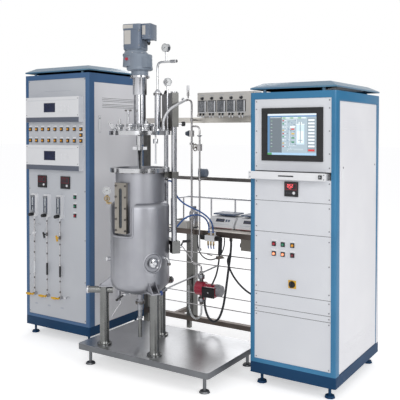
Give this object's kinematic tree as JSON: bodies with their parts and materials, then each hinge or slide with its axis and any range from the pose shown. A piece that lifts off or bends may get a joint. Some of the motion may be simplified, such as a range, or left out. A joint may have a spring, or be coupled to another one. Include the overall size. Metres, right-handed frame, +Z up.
{
  "type": "pilot bioreactor system",
  "caption": "Floor-standing pilot bioreactor: jacketed vessel with motor-driven lift-up lid on a steel platform, with pump rack, gas cabinet and control cabinet.",
  "frame": {"origin": "middle of the system's footprint on the floor", "axes": "+X to the system's right along its length, +Y to the back, +Z up; the cabinets face -Y"},
  "size_m": [2.45, 1.12, 2.2166],
  "materials": {
    "cabinet_blue": "textured powder coat, blue",
    "panel_grey": "fine powder coat, pale grey",
    "front_grey": "fine powder coat, light grey",
    "case_white": "smooth enamel, white",
    "black_plastic": "moulded, matt",
    "yellow_plastic": "dipped vinyl, satin",
    "bezel": "anodised dark bezel, satin",
    "brushed_steel": "brushed stainless",
    "polished_steel": "polished stainless",
    "blasted_steel": "bead blasted stainless",
    "machine_grey": "machine enamel, grey blue",
    "pump_red": "machine enamel, red",
    "white_plastic": "moulded, satin",
    "blue_tube": "extruded polyurethane tube",
    "black_tube": "extruded rubber",
    "clear_tube": "silicone tube",
    "braided_steel": "braided stainless over hose"
  },
  "bodies": {
    "station": {"gas_cabinet_frame": "cabinet_blue", "gas_cabinet_lid": "cabinet_blue", "gas_cabinet_panels": "panel_grey", "gas_front_panel": "front_grey", "gas_analyser_upper": "case_white", "gas_analyser_lower": "case_white", "control_cabinet_frame": "cabinet_blue", "control_cabinet_lid": "cabinet_blue", "control_cabinet_panels": "panel_grey", "monitor_plate": "panel_grey", "lower_front_plate": "panel_grey", "panel_computer": "bezel", "platform": "brushed_steel", "leg_1": "polished_steel", "leg_2": "polished_steel", "leg_3": "polished_steel", "vessel": "blasted_steel", "sight_glass_frame": "polished_steel", "drain_valve": "polished_steel", "lift_column": "polished_steel", "rack_frame": "brushed_steel", "shelf": "brushed_steel", "shelf_rail": "brushed_steel", "pump_bank": "panel_grey", "balance_1": "white_plastic", "balance_2": "white_plastic", "valve_block": "white_plastic", "circulation_pump": "pump_red", "process_pipe": "polished_steel", "blue_hose_upper": "blue_tube", "blue_hose_lower": "blue_tube", "black_hose": "black_tube", "pump_hose": "clear_tube", "exhaust_hose": "braided_steel"},
    "keyboard_drawer": {"keyboard_drawer": "panel_grey"},
    "main_switch_knob": {"main_switch_knob": "black_plastic"},
    "sample_valve_lever": {"sample_valve_lever": "black_plastic"},
    "lift_crank": {"lift_crank": "black_plastic"},
    "lid_assembly": {"lift_carriage": "brushed_steel", "vessel_lid": "polished_steel", "drive_tube": "polished_steel", "gearbox": "machine_grey", "motor": "machine_grey", "terminal_box": "machine_grey", "condenser": "polished_steel"},
    "agitator": {"agitator_shaft": "polished_steel", "impeller": "polished_steel"},
    "handwheel": {"handwheel": "black_plastic"},
    "diaphragm_valve_knob": {"diaphragm_valve_knob": "black_plastic"},
    "rotameter_knob_1": {"rotameter_knob_1": "black_plastic"},
    "gas_valve_handle_1": {"gas_valve_handle_1": "yellow_plastic"},
    "rotameter_knob_2": {"rotameter_knob_2": "black_plastic"},
    "gas_valve_handle_2": {"gas_valve_handle_2": "yellow_plastic"},
    "rotameter_knob_3": {"rotameter_knob_3": "black_plastic"},
    "gas_valve_handle_3": {"gas_valve_handle_3": "yellow_plastic"},
    "pump_rotor_1": {"pump_rotor_1": "white_plastic"},
    "pump_rotor_2": {"pump_rotor_2": "white_plastic"},
    "pump_rotor_3": {"pump_rotor_3": "white_plastic"},
    "pump_rotor_4": {"pump_rotor_4": "white_plastic"},
    "pump_rotor_5": {"pump_rotor_5": "white_plastic"}
  },
  "joints": [
    {"name": "lid_lift", "type": "slide", "parent": "station", "child": "lid_assembly", "axis": [0, 0, 1], "range_m": [-0.21, 0], "deforming": ["exhaust_hose"]},
    {"name": "agitator_spin", "type": "hinge", "parent": "lid_assembly", "child": "agitator", "pos_m": [-0.058, -0.357, 1.4], "axis": [0, 0, 1], "continuous": true},
    {"name": "crank_turn", "type": "hinge", "parent": "station", "child": "lift_crank", "pos_m": [0.1693, -0.20369, 0.78], "axis": [0.6088, 0.7934, 0], "range_deg": [-3900, 30]},
    {"name": "drawer_slide", "type": "slide", "parent": "station", "child": "keyboard_drawer", "axis": [0, -1, 0], "range_m": [-0.085, 0.27]},
    {"name": "main_switch_turn", "type": "hinge", "parent": "station", "child": "main_switch_knob", "pos_m": [0.9565, -0.23, 0.634], "axis": [0, 1, 0], "range_deg": [0, 90]},
    {"name": "rotameter_knob_turn_1", "type": "hinge", "parent": "station", "child": "rotameter_knob_1", "pos_m": [-1.116, -0.3, 0.912], "axis": [0, 1, 0], "range_deg": [-1080, 720]},
    {"name": "gas_valve_turn_1", "type": "hinge", "parent": "station", "child": "gas_valve_handle_1", "pos_m": [-1.116, -0.295, 0.315], "axis": [0, 1, 0], "range_deg": [-90, 0]},
    {"name": "rotameter_knob_turn_2", "type": "hinge", "parent": "station", "child": "rotameter_knob_2", "pos_m": [-0.985, -0.3, 0.912], "axis": [0, 1, 0], "range_deg": [-1080, 720]},
    {"name": "gas_valve_turn_2", "type": "hinge", "parent": "station", "child": "gas_valve_handle_2", "pos_m": [-0.985, -0.295, 0.315], "axis": [0, 1, 0], "range_deg": [-90, 0]},
    {"name": "rotameter_knob_turn_3", "type": "hinge", "parent": "station", "child": "rotameter_knob_3", "pos_m": [-0.854, -0.3, 0.912], "axis": [0, 1, 0], "range_deg": [-1080, 720]},
    {"name": "gas_valve_turn_3", "type": "hinge", "parent": "station", "child": "gas_valve_handle_3", "pos_m": [-0.854, -0.295, 0.315], "axis": [0, 1, 0], "range_deg": [-90, 0]},
    {"name": "sample_valve_turn", "type": "hinge", "parent": "station", "child": "sample_valve_lever", "pos_m": [-0.131, -0.50344, 0.452], "axis": [0, 1, 0], "range_deg": [0, 90]},
    {"name": "pump_rotor_spin_1", "type": "hinge", "parent": "station", "child": "pump_rotor_1", "pos_m": [0.054, 0.245, 1.704], "axis": [0, 1, 0], "continuous": true},
    {"name": "pump_rotor_spin_2", "type": "hinge", "parent": "station", "child": "pump_rotor_2", "pos_m": [0.133, 0.245, 1.704], "axis": [0, 1, 0], "continuous": true},
    {"name": "pump_rotor_spin_3", "type": "hinge", "parent": "station", "child": "pump_rotor_3", "pos_m": [0.212, 0.245, 1.704], "axis": [0, 1, 0], "continuous": true},
    {"name": "pump_rotor_spin_4", "type": "hinge", "parent": "station", "child": "pump_rotor_4", "pos_m": [0.291, 0.245, 1.704], "axis": [0, 1, 0], "continuous": true},
    {"name": "pump_rotor_spin_5", "type": "hinge", "parent": "station", "child": "pump_rotor_5", "pos_m": [0.37, 0.245, 1.704], "axis": [0, 1, 0], "continuous": true},
    {"name": "handwheel_turn", "type": "hinge", "parent": "station", "child": "handwheel", "pos_m": [0.025, 0.19, 1.414], "axis": [1, 0, 0], "range_deg": [-1080, 360]},
    {"name": "diaphragm_knob_turn", "type": "hinge", "parent": "station", "child": "diaphragm_valve_knob", "pos_m": [-0.045, 0.19, 1.513], "axis": [1, 0, 0], "range_deg": [-720, 360]}
  ],
  "couplings": [
    {"joint": "crank_turn", "follows": "lid_lift", "rad_per_m": 314.16}
  ]
}
